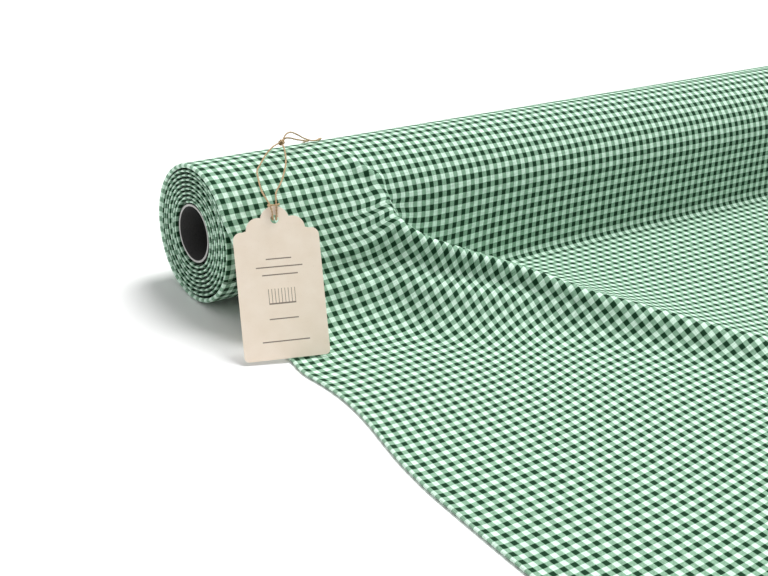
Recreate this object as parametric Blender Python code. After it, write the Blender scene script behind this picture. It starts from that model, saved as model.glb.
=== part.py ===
"""Fabric bolt: doubled gingham wound on a paper tube, its free end drawn out on a table, and a hang tag.

Metres, +Z up. X runs along the roll, away from the end with the tag. The free end lies towards -Y.
The origin is on the table, under the flat part of the free sheet, half way along the roll.
"""

import bisect
import math

import bmesh
import bpy
from mathutils import Matrix, Vector

# ---- Driving dimensions ------------------------------------------------------------------------------

BOLT_LENGTH = 0.762  # cloth of 60 in, doubled lengthwise
ROLL_DIAMETER = 0.080  # outside of the outer turn
CLOTH_THICKNESS = 0.0012  # two plies and the air between them
FREE_REACH = 0.380  # from the roll's axis to the cut end of the free sheet
SHEET_ORIGIN_REACH = 0.170  # from the roll's axis to the origin, along -Y

TUBE_BORE = 0.031
TUBE_WALL = 0.0015
TUBE_RECESS = 0.001  # the tube stops short of the cloth at each end

TAPE_THICKNESS = 0.0002
TAPE_WIDTH = 0.025  # along the tube
TAPE_WRAP_DEG = 110  # round the tube
TAPE_INSET = 0.060  # from the tube's end to the middle of the first and the last strip

TAG_WIDTH = 0.047
TAG_SIDE_HEIGHT = 0.0646  # up to where the shoulders start to turn in
TAG_THICKNESS = 0.0006
TAG_HOLE_DIAMETER = 0.0048
TAG_CORNER_RADIUS = 0.0025

TWINE_DIAMETER = 0.0011
KNOT_DIAMETER = 0.0034

CLEARANCE = 0.0003  # between pieces that touch
EDGE_LIFT = 0.009  # how far the free sheet's folded edge rises off the table

# ---- Worked-out sizes --------------------------------------------------------------------------------

ROLL_RADIUS = ROLL_DIAMETER / 2
SHEET_INNER_RADIUS = ROLL_RADIUS - CLOTH_THICKNESS
WOUND_RADIUS = SHEET_INNER_RADIUS - CLEARANCE
TUBE_RADIUS = TUBE_BORE / 2 + TUBE_WALL
TAPE_RADIUS = TUBE_RADIUS + CLEARANCE
WOUND_INNER_RADIUS = TAPE_RADIUS + TAPE_THICKNESS + CLEARANCE
NEAR_X = -BOLT_LENGTH / 2
AXIS_Y = SHEET_ORIGIN_REACH
AXIS_Z = ROLL_RADIUS  # the outer turn rests on the table

# ---- The drape ---------------------------------------------------------------------------------------
# Sections across the free sheet. Each gives its distance from the near end in metres, then, in roll
# radii outwards from the roll's axis and up from the table: the valley point (out, up), the crest point
# (out, up) and how far out the foot is. Near the end the cloth goes straight down to the table, so the
# first two points lie on one line. Then a fold rises between roll and foot and runs out slantwise.
SECTIONS = [
    (0.000, (1.000, 1.275), (1.175, 0.990), 1.780),
    (0.060, (1.000, 1.295), (1.200, 0.990), 1.850),
    (0.090, (0.925, 1.450), (1.250, 1.065), 2.150),
    (0.103, (0.850, 1.565), (1.280, 1.300), 2.550),
    (0.113, (1.125, 0.950), (1.625, 1.125), 2.750),
    (0.125, (1.175, 0.500), (1.890, 1.040), 2.950),
    (0.140, (1.250, 0.225), (2.150, 0.925), 3.100),
    (0.160, (1.250, 0.080), (2.500, 0.775), 3.300),
    (0.189, (1.200, 0.030), (3.425, 0.540), 3.975),
    (0.240, (1.150, 0.020), (5.000, 0.330), 5.400),
    (0.290, (1.120, 0.015), (6.200, 0.140), 6.500),
    (0.340, (1.100, 0.000), (7.200, 0.000), 7.500),
]
VALLEY_ROUND = 0.006  # how far each side of a corner its rounding reaches
CREST_ROUND = 0.005
FOOT_ROUND_AT_END = 0.014
FOOT_ROUND = 0.024
FOOT_ROUND_FULL_AT = 0.050  # distance from the near end

DRUM_STEPS = 16
CORNER_STEPS = 6
HUGGING_LENGTH = 0.040  # of cloth, which lies on the roll in every section
SHEET_ROWS = (8, 10, 9, 11, 12)  # up to that length, the valley, the crest, the foot and the cut end
STATION_STEPS = [(0.012, 0.060), (0.010, 0.200), (0.025, 0.340), (0.120, BOLT_LENGTH)]

# The folded edge of the free sheet lifts between these distances from the roll's axis.
LIFT_START = 0.098
LIFT_END = 0.205
LIFT_FADE = 0.022  # how fast it dies away along X

# ---- The tag's place ---------------------------------------------------------------------------------

TAG_STAND_OFF = 0.0053  # from where the near end's cloth has come down to the tag's foot
TAG_OUT = SECTIONS[0][3] * ROLL_RADIUS + FOOT_ROUND_AT_END + TAG_STAND_OFF
TAG_FOOT = Vector((NEAR_X + 0.0090, AXIS_Y - TAG_OUT, 0.0022))  # middle of the tag's lower edge
TAG_YAW = math.radians(-19.0)
TAG_LEAN = math.radians(28.0)
TAG_TILT = math.radians(2.1)
# The tag's top outline is three rounds on each side of its centre line: (centre across, centre up from
# the side's top, radius). The outermost is placed from the tag's side.
ARCH_UP, ARCH_RADIUS = 0.0091, 0.0080
SCALLOP_ACROSS, SCALLOP_UP, SCALLOP_RADIUS = 0.0095, 0.0047, 0.0066
SHOULDER_RADIUS = 0.0042
HOLE_UP = 0.0101  # hole centre above the side's top
ARC_STEP = math.radians(15)

# ---- The twine's route -------------------------------------------------------------------------------
# Millimetres from the near end, from the roll's axis and from the table, for a roll of this diameter.
ROUTE_ROLL_DIAMETER = 0.080
KNOT_AT = (51.7, -8.0, 90.0)
STRAND_LEFT = [
    (15.4, -51.2, 78.1), (15.8, -47.0, 79.8), (17.2, -42.2, 81.0), (19.4, -37.0, 82.2),
    (23.5, -28.2, 84.5), (28.3, -23.6, 86.0), (36.9, -15.8, 88.0), (44.6, -10.6, 89.4),
    (49.4, -8.6, 89.9),
]
STRAND_RIGHT = [
    (20.5, -52.8, 78.2), (23.9, -47.6, 79.4), (30.3, -41.6, 80.9), (36.3, -35.0, 82.6),
    (43.7, -25.6, 85.0), (49.4, -15.6, 87.3), (51.6, -9.9, 88.9),
]
TAIL_UPPER = [
    (53.4, -7.0, 91.2), (56.6, -4.8, 93.0), (61.5, -2.0, 92.6), (67.5, 0.4, 89.6),
    (74.0, 2.6, 85.6), (81.0, 5.0, 82.3), (88.5, 8.6, 80.3), (94.5, 14.5, 78.4),
    (98.0, 22.5, 74.4), (99.5, 30.0, 68.0),
]
TAIL_LOWER = [
    (53.6, -6.4, 89.6), (57.0, -3.8, 90.2), (62.0, -0.8, 88.6), (68.2, 1.9, 85.9),
    (74.8, 5.2, 83.2), (81.2, 9.4, 80.4), (86.0, 15.5, 78.1), (88.5, 23.0, 74.0),
    (88.8, 29.5, 68.6),
]
# Across, up and out from the middle of the tag's hole, in millimetres: through the hole, up the back,
# over the top edge, across the front, and the same way back.
HITCH = [
    (-3.4, 10.4, 1.3), (-2.3, 8.2, 1.3), (-1.4, 5.0, 1.3), (-1.15, 2.0, 1.3), (-1.0, 0.3, 0.95),
    (-0.95, -0.3, 0.0), (-1.0, 0.3, -0.95), (-1.4, 2.4, -1.3), (-2.0, 5.4, -1.3), (-2.6, 7.5, -0.7),
    (-2.9, 7.8, 0.9), (-2.3, 7.5, 2.6), (0.0, 7.3, 3.1), (2.3, 7.5, 2.6), (2.9, 7.8, 0.9),
    (2.6, 7.5, -0.7), (2.0, 5.4, -1.3), (1.4, 2.4, -1.3), (1.0, 0.3, -0.95), (0.95, -0.3, 0.0),
    (1.0, 0.3, 0.95), (1.15, 2.0, 1.3), (1.3, 5.0, 1.3), (1.4, 8.2, 1.3), (1.6, 10.4, 1.3),
]
HITCH_GAP = 0.0007  # between the hitch, which swings with the tag, and each strand above it
ROUTE_STEP = 2.5 * TWINE_DIAMETER
HITCH_STEP = 1.0 * TWINE_DIAMETER


# ---- Helpers -----------------------------------------------------------------------------------------

def clear_scene():
    for obj in list(bpy.data.objects):
        bpy.data.objects.remove(obj, do_unlink=True)


def material(name, colour, roughness, metallic=0.0):
    made = bpy.data.materials.new(name)
    made.use_nodes = True
    shader = made.node_tree.nodes["Principled BSDF"]
    shader.inputs["Base Color"].default_value = (*colour, 1.0)
    shader.inputs["Roughness"].default_value = roughness
    shader.inputs["Metallic"].default_value = metallic
    return made


def add_object(name, data, finish):
    obj = bpy.data.objects.new(name, data)
    bpy.context.scene.collection.objects.link(obj)
    data.materials.append(finish)
    return obj


def mesh_object(name, points, faces, finish, sharp_deg=35):
    """A named mesh with its faces turned outwards and its round parts shaded smooth."""
    mesh = bpy.data.meshes.new(name)
    mesh.from_pydata([tuple(p) for p in points], [], faces)
    work = bmesh.new()
    work.from_mesh(mesh)
    bmesh.ops.recalc_face_normals(work, faces=work.faces)
    work.to_mesh(mesh)
    work.free()
    mesh.shade_smooth()
    mesh.set_sharp_from_angle(angle=math.radians(sharp_deg))
    return add_object(name, mesh, finish)


def joined_loops(loops, closed_run):
    """Faces between loops of equal length. closed_run joins the last loop to the first, else caps both."""
    count = len(loops[0])
    points = [p for loop in loops for p in loop]
    faces = []
    for i in range(len(loops) if closed_run else len(loops) - 1):
        a, b = i * count, (i + 1) % len(loops) * count
        for j in range(count):
            k = (j + 1) % count
            faces.append((a + j, a + k, b + k, b + j))
    if not closed_run:
        last = (len(loops) - 1) * count
        faces.append(tuple(range(count)))
        faces.append(tuple(last + j for j in reversed(range(count))))
    return points, faces


def around_axis(x, radius, angle):
    """A point round the roll's axis. The angle is 0 at the top and grows towards the front, -Y."""
    return Vector((x, AXIS_Y - radius * math.sin(angle), AXIS_Z + radius * math.cos(angle)))


def shell(name, x0, x1, inner, outer, start_deg, end_deg, steps, finish):
    """A ring or part of a ring round the roll's axis. A full turn closes on itself."""
    full = end_deg - start_deg >= 360
    loops = []
    for i in range(steps if full else steps + 1):
        angle = math.radians(start_deg + (end_deg - start_deg) * i / steps)
        corners = ((x0, inner), (x1, inner), (x1, outer), (x0, outer))
        loops.append([around_axis(x, radius, angle) for x, radius in corners])
    points, faces = joined_loops(loops, full)
    return mesh_object(name, points, faces, finish)


def smooth_route(points, step):
    """Points about a step apart on a smooth curve through the given ones."""
    points = [Vector(p) for p in points]
    ends = [points[0] * 2 - points[1], *points, points[-1] * 2 - points[-2]]
    route = []
    for before, a, b, after in zip(ends, ends[1:], ends[2:], ends[3:]):
        count = max(1, round((b - a).length / step))
        for i in range(count):
            t = i / count
            route.append(
                0.5 * (2 * a + (b - before) * t + (2 * before - 5 * a + 4 * b - after) * t**2
                       + (3 * a - before - 3 * b + after) * t**3)
            )
    return [*route, points[-1]]


def tube(name, route, diameter, finish):
    curve = bpy.data.curves.new(name, "CURVE")
    curve.dimensions = "3D"
    curve.bevel_depth = diameter / 2
    curve.bevel_resolution = 2
    curve.use_fill_caps = True
    spline = curve.splines.new("POLY")
    spline.points.add(len(route) - 1)
    for point, place in zip(spline.points, route):
        point.co = (*place, 1.0)
    return add_object(name, curve, finish)


# ---- The tube, its tape and the wound cloth ----------------------------------------------------------

def make_core(finish):
    ends = (NEAR_X + TUBE_RECESS, -NEAR_X - TUBE_RECESS)
    shell("core_tube", *ends, TUBE_BORE / 2, TUBE_RADIUS, 0, 360, 40, finish)


def make_tape(finish):
    """Strips that hold the cloth's first edge to the tube: one near each end and one between them."""
    reach = BOLT_LENGTH / 2 - TAPE_INSET
    for name, middle in (("tape_near", -reach), ("tape_middle", 0.0), ("tape_far", reach)):
        shell(name, middle - TAPE_WIDTH / 2, middle + TAPE_WIDTH / 2, TAPE_RADIUS,
              TAPE_RADIUS + TAPE_THICKNESS, 0, TAPE_WRAP_DEG, 12, finish)


def make_wound_cloth(finish):
    shell("wound_cloth", NEAR_X, -NEAR_X, WOUND_INNER_RADIUS, WOUND_RADIUS, 0, 360, 48, finish)


def make_outer_turn(finish):
    """The last turn, from under the free sheet's start at the top, round the back and under the roll."""
    seam = math.degrees(CLEARANCE / SHEET_INNER_RADIUS)
    shell("outer_turn", NEAR_X, -NEAR_X, SHEET_INNER_RADIUS, ROLL_RADIUS, -245, -seam, 32, finish)


# ---- The free sheet ----------------------------------------------------------------------------------

def section_at(distance):
    """The valley, crest and foot in metres out from the axis and up from the table, at this distance."""
    starts = [row[0] for row in SECTIONS]
    i = min(max(bisect.bisect_right(starts, distance), 1), len(SECTIONS) - 1)
    low, high = SECTIONS[i - 1], SECTIONS[i]
    share = min(1.0, (distance - low[0]) / (high[0] - low[0]))
    valley, crest = (Vector(low[k]).lerp(Vector(high[k]), share) * ROLL_RADIUS for k in (1, 2))
    foot = (low[3] + (high[3] - low[3]) * share) * ROLL_RADIUS
    return valley, crest, Vector((foot, 0.0))


def leaving_angle(point):
    """Where a straight run to this (out, up) point leaves the roll, as an angle from the top."""
    out, up = point.x, point.y - AXIS_Z
    reach = math.hypot(out, up)
    return math.atan2(out, up) - math.acos(SHEET_INNER_RADIUS / reach)


def rounded_corner(before, corner, after, reach):
    start = corner + (before - corner).normalized() * min(reach, (before - corner).length * 0.45)
    end = corner + (after - corner).normalized() * min(reach, (after - corner).length * 0.45)
    steps = [i / CORNER_STEPS for i in range(CORNER_STEPS + 1)]
    return [start * (1 - t) ** 2 + corner * (2 * t * (1 - t)) + end * t**2 for t in steps]


def under_outline(distance):
    """The sheet's underside as (out, up) points from the top of the roll to the cut end, and the places
    in that list of the valley, the crest and where the foot has come down to the table."""
    valley, crest, foot = section_at(distance)
    leave = leaving_angle(valley)
    arc = [leave * i / DRUM_STEPS for i in range(DRUM_STEPS + 1)]
    points = [
        Vector((SHEET_INNER_RADIUS * math.sin(a), AXIS_Z + SHEET_INNER_RADIUS * math.cos(a)))
        for a in arc
    ]
    share = min(1.0, distance / FOOT_ROUND_FULL_AT)
    foot_round = FOOT_ROUND_AT_END + (FOOT_ROUND - FOOT_ROUND_AT_END) * share
    cut_end = Vector((FREE_REACH, 0.0))
    marks = []
    points += rounded_corner(points[-1], valley, crest, VALLEY_ROUND)
    marks.append(len(points) - 1 - CORNER_STEPS // 2)
    points += rounded_corner(valley, crest, foot, CREST_ROUND)
    marks.append(len(points) - 1 - CORNER_STEPS // 2)
    points += rounded_corner(crest, foot, cut_end, foot_round)
    marks.append(len(points) - 1)
    return [*points, cut_end], marks


def evenly(start, end, count):
    return [start + (end - start) * i / count for i in range(1, count + 1)]


def under_profile(distance):
    """The same line as a fixed number of points, spread evenly between its marks, so that the rows they
    make follow the valley, the crest and the foot."""
    outline, marks = under_outline(distance)
    run = [0.0]
    for a, b in zip(outline, outline[1:]):
        run.append(run[-1] + (b - a).length)
    stops = [0.0, HUGGING_LENGTH, *(run[mark] for mark in marks), run[-1]]
    wanted = [0.0]
    for start, end, rows in zip(stops, stops[1:], SHEET_ROWS):
        wanted += evenly(start, end, rows)
    points = []
    for place in wanted[:-1]:
        i = min(bisect.bisect_right(run, place), len(run) - 1)
        points.append(outline[i - 1].lerp(outline[i], (place - run[i - 1]) / (run[i] - run[i - 1])))
    return [*points, outline[-1]]


def edge_lift(distance, out):
    share = (out - LIFT_START) / (LIFT_END - LIFT_START)
    if not 0 < share < 1:
        return 0.0
    return EDGE_LIFT * math.sin(math.pi * share) ** 2 * math.exp(-((distance / LIFT_FADE) ** 2))


def stations():
    """Distances from the near end of the sheet's sections: close together where the fold is."""
    found, start = [0.0], 0.0
    for step, end in STATION_STEPS:
        count = max(1, round((end - start) / step))
        found += [start + (end - start) * i / count for i in range(1, count + 1)]
        start = end
    return found


def section_loop(distance):
    """One closed section of the sheet: out along its underside, and back along its top."""
    under = under_profile(distance)
    top = []
    for i, point in enumerate(under):
        run = under[min(i + 1, len(under) - 1)] - under[max(i - 1, 0)]
        top.append(point + Vector((-run.y, run.x)).normalized() * CLOTH_THICKNESS)
    loop = []
    for point in [*under, *reversed(top)]:
        up = point.y + edge_lift(distance, point.x)
        loop.append(Vector((NEAR_X + distance, AXIS_Y - point.x, up)))
    return loop


def make_free_sheet(finish):
    points, faces = joined_loops([section_loop(d) for d in stations()], False)
    mesh_object("free_sheet", points, faces[:-2] + end_faces(len(points)), finish)


def end_faces(point_count):
    """Strips of four-sided faces that close the sheet's first and last sections."""
    loop = point_count // len(stations())
    found = []
    for first in (0, point_count - loop):
        for i in range(loop // 2 - 1):
            found.append((first + i, first + i + 1, first + loop - 2 - i, first + loop - 1 - i))
    return found


# ---- The tag -----------------------------------------------------------------------------------------

def arc(centre, radius, start_deg, end_deg):
    start, end = math.radians(start_deg), math.radians(end_deg)
    count = max(2, round(abs(end - start) / ARC_STEP))
    angles = [start + (end - start) * i / count for i in range(count + 1)]
    return [(centre[0] + radius * math.cos(a), centre[1] + radius * math.sin(a)) for a in angles]


def half_outline():
    """The tag's outline from the middle of its foot, up its right side, to the middle of its top."""
    side, top = TAG_WIDTH / 2, TAG_SIDE_HEIGHT
    corner = TAG_CORNER_RADIUS
    return [
        *arc((side - corner, corner), corner, -90, 0),
        *arc((side - SHOULDER_RADIUS, top), SHOULDER_RADIUS, 0, 100),
        *arc((SCALLOP_ACROSS, top + SCALLOP_UP), SCALLOP_RADIUS, 0, 108),
        *arc((0.0, top + ARCH_UP), ARCH_RADIUS, 18, 90),
    ]


def tag_frame():
    """The tag's axes as a matrix: across, up and out, with its origin at the middle of its foot."""
    across, up = Vector((1, 0, 0)), Vector((0, math.sin(TAG_LEAN), math.cos(TAG_LEAN)))
    turn = Matrix.Rotation(TAG_YAW, 3, "Z")
    across, up = turn @ across, turn @ up
    tilt = Matrix.Rotation(TAG_TILT, 3, across.cross(up))
    across, up = tilt @ across, tilt @ up
    axes = Matrix((across, up, across.cross(up))).transposed().to_4x4()
    return Matrix.Translation(TAG_FOOT) @ axes


def hole_frame():
    return tag_frame() @ Matrix.Translation((0.0, TAG_SIDE_HEIGHT + HOLE_UP, 0.0))


def make_tag(finish, pivot):
    half = half_outline()
    outline = half + [(-x, y) for x, y in reversed(half[:-1])]
    loops = [[(x, y, z) for x, y in outline] for z in (-TAG_THICKNESS / 2, TAG_THICKNESS / 2)]
    tag = mesh_object("tag", *joined_loops(loops, False), finish)
    hole = arc((0.0, TAG_SIDE_HEIGHT + HOLE_UP), TAG_HOLE_DIAMETER / 2, 0, 360)[:-1]
    cutter = mesh_object("tag_hole_cutter", *joined_loops(
        [[(x, y, z) for x, y in hole] for z in (-TAG_THICKNESS, TAG_THICKNESS)], False), finish)
    cutter.hide_render = True
    cutter.display_type = "WIRE"
    cut = tag.modifiers.new("hole", "BOOLEAN")
    cut.operation = "DIFFERENCE"
    cut.object = cutter
    for obj in (tag, cutter):
        obj.parent = pivot
        obj.matrix_parent_inverse = pivot.matrix_world.inverted()
        obj.matrix_world = tag_frame()


def tag_pivot():
    """An empty on the line about which the tag swings, through the upper ends of its hitch."""
    pivot = bpy.data.objects.new("tag_pivot", None)
    bpy.context.scene.collection.objects.link(pivot)
    _, above, out = (value / 1000 for value in HITCH[0])
    pivot.matrix_world = hole_frame() @ Matrix.Translation((0.0, above, out))
    return pivot


# ---- The twine ---------------------------------------------------------------------------------------

def on_roll(point_mm):
    """Where a route's point is once the route has grown away from the roll's axis with the roll."""
    x, y, z = (value / 1000 for value in point_mm)
    grown = ROLL_DIAMETER / ROUTE_ROLL_DIAMETER
    up = z - ROUTE_ROLL_DIAMETER / 2
    return Vector((NEAR_X + x, AXIS_Y + y * grown, AXIS_Z + up * grown))


def by_knot(point_mm):
    """Where a route's end beside the knot is: always as far from the knot as on a roll of that size."""
    return on_roll(KNOT_AT) + (Vector(point_mm) - Vector(KNOT_AT)) / 1000


def between(route, start, end):
    """A route's places, moved so that its ends come to the given places."""
    first, last = start - on_roll(route[0]), end - on_roll(route[-1])
    count = len(route) - 1
    return [on_roll(point) + first.lerp(last, i / count) for i, point in enumerate(route)]


def strand(route, hitch_end, before_end):
    """A strand's places, from just past the end of the tag's hitch to the knot."""
    start = hitch_end + (hitch_end - before_end).normalized() * HITCH_GAP
    return between(route, start, by_knot(route[-1]))


def tail(route):
    """A tail's places, from the knot to its end on the roll."""
    return between(route, by_knot(route[0]), on_roll(route[-1]))


def make_twine(finish):
    hitch = [hole_frame() @ (Vector(point) / 1000) for point in HITCH]
    routes = {
        "twine_left": strand(STRAND_LEFT, hitch[0], hitch[1]),
        "twine_right": strand(STRAND_RIGHT, hitch[-1], hitch[-2]),
        "twine_tail_upper": tail(TAIL_UPPER),
        "twine_tail_lower": tail(TAIL_LOWER),
    }
    for name, places in routes.items():
        tube(name, smooth_route(places, ROUTE_STEP), TWINE_DIAMETER, finish)
    tube("twine_hitch", smooth_route(hitch, HITCH_STEP), TWINE_DIAMETER, finish)
    make_knot(finish)


def make_knot(finish):
    mesh = bpy.data.meshes.new("twine_knot")
    work = bmesh.new()
    bmesh.ops.create_uvsphere(work, u_segments=12, v_segments=8, radius=KNOT_DIAMETER / 2)
    bmesh.ops.scale(work, vec=(1.0, 0.8, 0.8), verts=work.verts)
    work.to_mesh(mesh)
    work.free()
    mesh.shade_smooth()
    knot = add_object("twine_knot", mesh, finish)
    knot.location = on_roll(KNOT_AT)


def main():
    clear_scene()
    cloth = material("gingham", (0.30, 0.55, 0.42), 0.85)
    make_core(material("grey paper tube", (0.12, 0.12, 0.12), 0.8))
    make_tape(material("paper tape", (0.75, 0.70, 0.58), 0.5))
    make_wound_cloth(cloth)
    make_outer_turn(cloth)
    make_free_sheet(cloth)
    make_tag(material("tag card", (0.80, 0.72, 0.62), 0.7), tag_pivot())
    make_twine(material("jute twine", (0.50, 0.36, 0.20), 0.9))


main()
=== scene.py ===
import math
import random

import bpy
import numpy as np
from mathutils import Matrix, Vector


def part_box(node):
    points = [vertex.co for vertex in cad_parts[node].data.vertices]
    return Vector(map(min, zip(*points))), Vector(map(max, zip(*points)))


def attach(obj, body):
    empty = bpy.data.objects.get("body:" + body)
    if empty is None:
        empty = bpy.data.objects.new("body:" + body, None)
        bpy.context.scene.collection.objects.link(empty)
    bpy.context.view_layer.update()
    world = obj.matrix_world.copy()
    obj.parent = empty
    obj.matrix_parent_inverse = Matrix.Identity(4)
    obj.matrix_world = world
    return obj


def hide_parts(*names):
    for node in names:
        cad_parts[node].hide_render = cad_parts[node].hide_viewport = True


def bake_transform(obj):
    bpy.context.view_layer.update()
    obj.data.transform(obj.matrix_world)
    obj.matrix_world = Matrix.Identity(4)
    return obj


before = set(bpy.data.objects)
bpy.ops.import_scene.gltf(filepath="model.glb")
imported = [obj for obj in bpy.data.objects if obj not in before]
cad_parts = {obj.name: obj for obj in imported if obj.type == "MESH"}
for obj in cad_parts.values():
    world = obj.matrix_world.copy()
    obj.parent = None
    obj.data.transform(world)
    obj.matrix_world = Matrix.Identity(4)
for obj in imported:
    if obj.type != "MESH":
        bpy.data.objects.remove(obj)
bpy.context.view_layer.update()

# Metres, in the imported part's frame: the roll lies along X with its near end at -X, and its free end is
# drawn out towards -Y on a table at Z = 0.

# ---- Places read from the frame --------------------------------------

WOUND_LOW, WOUND_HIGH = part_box("wound_cloth")
CORE_LOW, CORE_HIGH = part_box("core_tube")
SHEET_LOW, SHEET_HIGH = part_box("free_sheet")
NEAR_X = WOUND_LOW.x
BOLT_LENGTH = WOUND_HIGH.x - WOUND_LOW.x
AXIS_Y = (WOUND_LOW.y + WOUND_HIGH.y) / 2
AXIS_Z = (WOUND_LOW.z + WOUND_HIGH.z) / 2
ROLL_RADIUS = SHEET_HIGH.z - AXIS_Z
TUBE_RADIUS = (CORE_HIGH.z - CORE_LOW.z) / 2
FREE_REACH = AXIS_Y - SHEET_LOW.y

# ---- Sizes of what is made here --------------------------------------

CLOTH_THICKNESS = 0.0012  # two plies and the air between them
FAR_GAP = 0.004  # depth of the gap between the plies at the far end
SHEET_RADIUS = ROLL_RADIUS - CLOTH_THICKNESS  # inside of the outer turn
CHECK = 0.00635  # one light and one dark stripe of the gingham
CELL = CHECK / 4  # of the grid that the sheet's mesh is taken from

TURNS = 7.4  # under the outer one
WOUND_OUTSIDE, WOUND_INSIDE = 0.0375, 0.0173
TURN_FILL, BODY_FILL = 0.70, 0.50  # how much of its room a turn fills at its folded edge, and behind it
PACK_SAG = 0.0012  # how much looser the turns lie under the tube than over it
FOLD_BEAD = 0.0026  # thickness of the outer turn at its folded edge
OUTER_BEAD_DEPTH = 0.0015
BEAD_FADE = 0.004
BEAD_DEPTH = 0.0026
GROOVE_SHADE_GATHER = 0.0015  # of pattern, drawn in at each side of the wound cloth's fold so that green stripes lie in the grooves between turns: painted shade
EDGE_RIPPLE = 0.0003  # how far the turns' edges stand in and out
RIPPLE_RATES = (0.37, 0.83, 1.31, 2.17, 3.3)  # waves for each radian that the cloth winds
WOUND_ROW_STEP = 0.0030

TUBE_WALL = 0.0015
TUBE_RIM = 0.0004  # radius of the edges at its ends
TUBE_SIDES, TUBE_RINGS = 96, 40
STRIP_PITCH = 0.060  # of the paper strip that the tube is wound from

TAG_THICKNESS = 0.0006
TAG_BEVEL = 0.0001

# ---- The drape -------------------------------------------------------
# Distance from the near end in metres, then in roll radii out from the roll's axis and up from the
# table: valley out, valley up, crest out, crest up, foot out.
SECTIONS = [
    (0.000, 1.000, 1.275, 1.175, 0.990, 1.780),
    (0.060, 1.000, 1.295, 1.200, 0.990, 1.850),
    (0.090, 0.925, 1.450, 1.250, 1.065, 2.150),
    (0.103, 0.850, 1.565, 1.280, 1.300, 2.550),
    (0.113, 1.125, 0.950, 1.625, 1.125, 2.750),
    (0.125, 1.175, 0.500, 1.890, 1.040, 2.950),
    (0.140, 1.250, 0.225, 2.150, 0.925, 3.100),
    (0.160, 1.250, 0.080, 2.500, 0.775, 3.300),
    (0.189, 1.200, 0.030, 3.425, 0.540, 3.975),
    (0.240, 1.150, 0.020, 5.000, 0.330, 5.400),
    (0.290, 1.120, 0.015, 6.200, 0.140, 6.500),
    (0.340, 1.100, 0.000, 7.200, 0.000, 7.500),
]
SECTION_BLUR = 0.004  # how far along X the sections run into each other
VALLEY_ROUND, CREST_ROUND = 0.008, 0.006
FOOT_ROUND_AT_END, FOOT_ROUND, FOOT_ROUND_FULL_AT = 0.014, 0.026, 0.050
EDGE_LIFT, LIFT_START, LIFT_END, LIFT_FADE = 0.009, 0.098, 0.205, 0.022
HUGGING_LENGTH = 0.040  # of cloth that lies on the roll all along it
OUTER_TURN_DEG = 245
# The fold's near face hollows in below its crest: how deep, where along the roll and how far it reaches.
HOLLOW_DEPTH, HOLLOW_AT, HOLLOW_REACH = 0.0060, 0.118, 0.050
HOLLOW_SKEW, HOLLOW_NARROWING = 0.8, 1.5  # a skew under 1 brings its deepest place nearer the crest
# How far the sheet's folded edge is drawn in, at these distances out from the roll's axis.
DRAWN_IN = [(0.095, 0.0), (0.105, -0.001), (0.120, 0.0033), (0.135, 0.0056), (0.150, 0.0056),
            (0.165, 0.0040), (0.180, 0.0014), (0.200, -0.0020), (0.225, -0.0040), (0.380, -0.0050)]
DRAWN_REACH = 0.090
# The ridge that the fold runs up into on the roll: place along the cloth's width, and along its length.
RIDGE = [(0.0908, 0.0000), (0.0944, 0.0141), (0.0964, 0.0202), (0.0982, 0.0247), (0.1022, 0.0275),
         (0.1062, 0.0310), (0.1062, 0.0356), (0.1049, 0.0395), (0.1059, 0.0437), (0.1100, 0.0600)]
RIDGE_HEIGHT, RIDGE_LEFT, RIDGE_RIGHT = 0.0030, 0.0070, 0.0020
RIDGE_RISE, RIDGE_FALL = (0.004, 0.028), (0.046, 0.066)  # along the cloth
# Pulls: small waves beside the ridge, square to the slant and turning across the cloth.
PULL_HEIGHT, PULL_LENGTH, PULL_AT, PULL_REACH = 0.00040, 0.0125, (0.084, 0.026), 0.021
PULL_SLANT, PULL_TURN, PULL_TURN_WIDTH = (0.62, 0.78), 9, 0.1
SURFACE_STEP = 0.00125
SURFACE_MARGIN = 0.030
SHEET_SLACK, SURFACE_SLACK = 0.050, 0.13  # length past its reach: the cloth's, and the surface's
ON_ROLL_UNTIL, ON_ROLL_FADE = 1.5 * HUGGING_LENGTH, 0.02
FINE_UNTIL = 0.200  # along the cloth, up to where each row of the grid is kept
TURN_STRIDE, FLAT_STRIDE = 2, 4  # rows of the grid to each row kept elsewhere

SHEAR_STIFFNESS = 0.06
MOMENTUM, RELAX_STEP, LEAST_SLOPE = 0.9, 0.35, 0.05
FIRST_CELLS = 8  # cells of the final grid to one of the first
RELAX_ROUNDS = (600, 500, 60)  # steps on each grid; each one is twice as fine as the last

# Columns of the meshes, in runs of (end, step) from the near end.
OUTER_COLUMNS = [(0.0036, 0.0012), (0.160, CELL), (0.320, 2 * CELL), (BOLT_LENGTH, 4 * CELL)]
WOUND_COLUMNS = [(0.010, 0.0012), (0.022, 0.004), (BOLT_LENGTH, 0.037)]

# ---- The twine's route -----------------------------------------------
# In metres from the near end, from the roll's axis and from the table.

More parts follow.
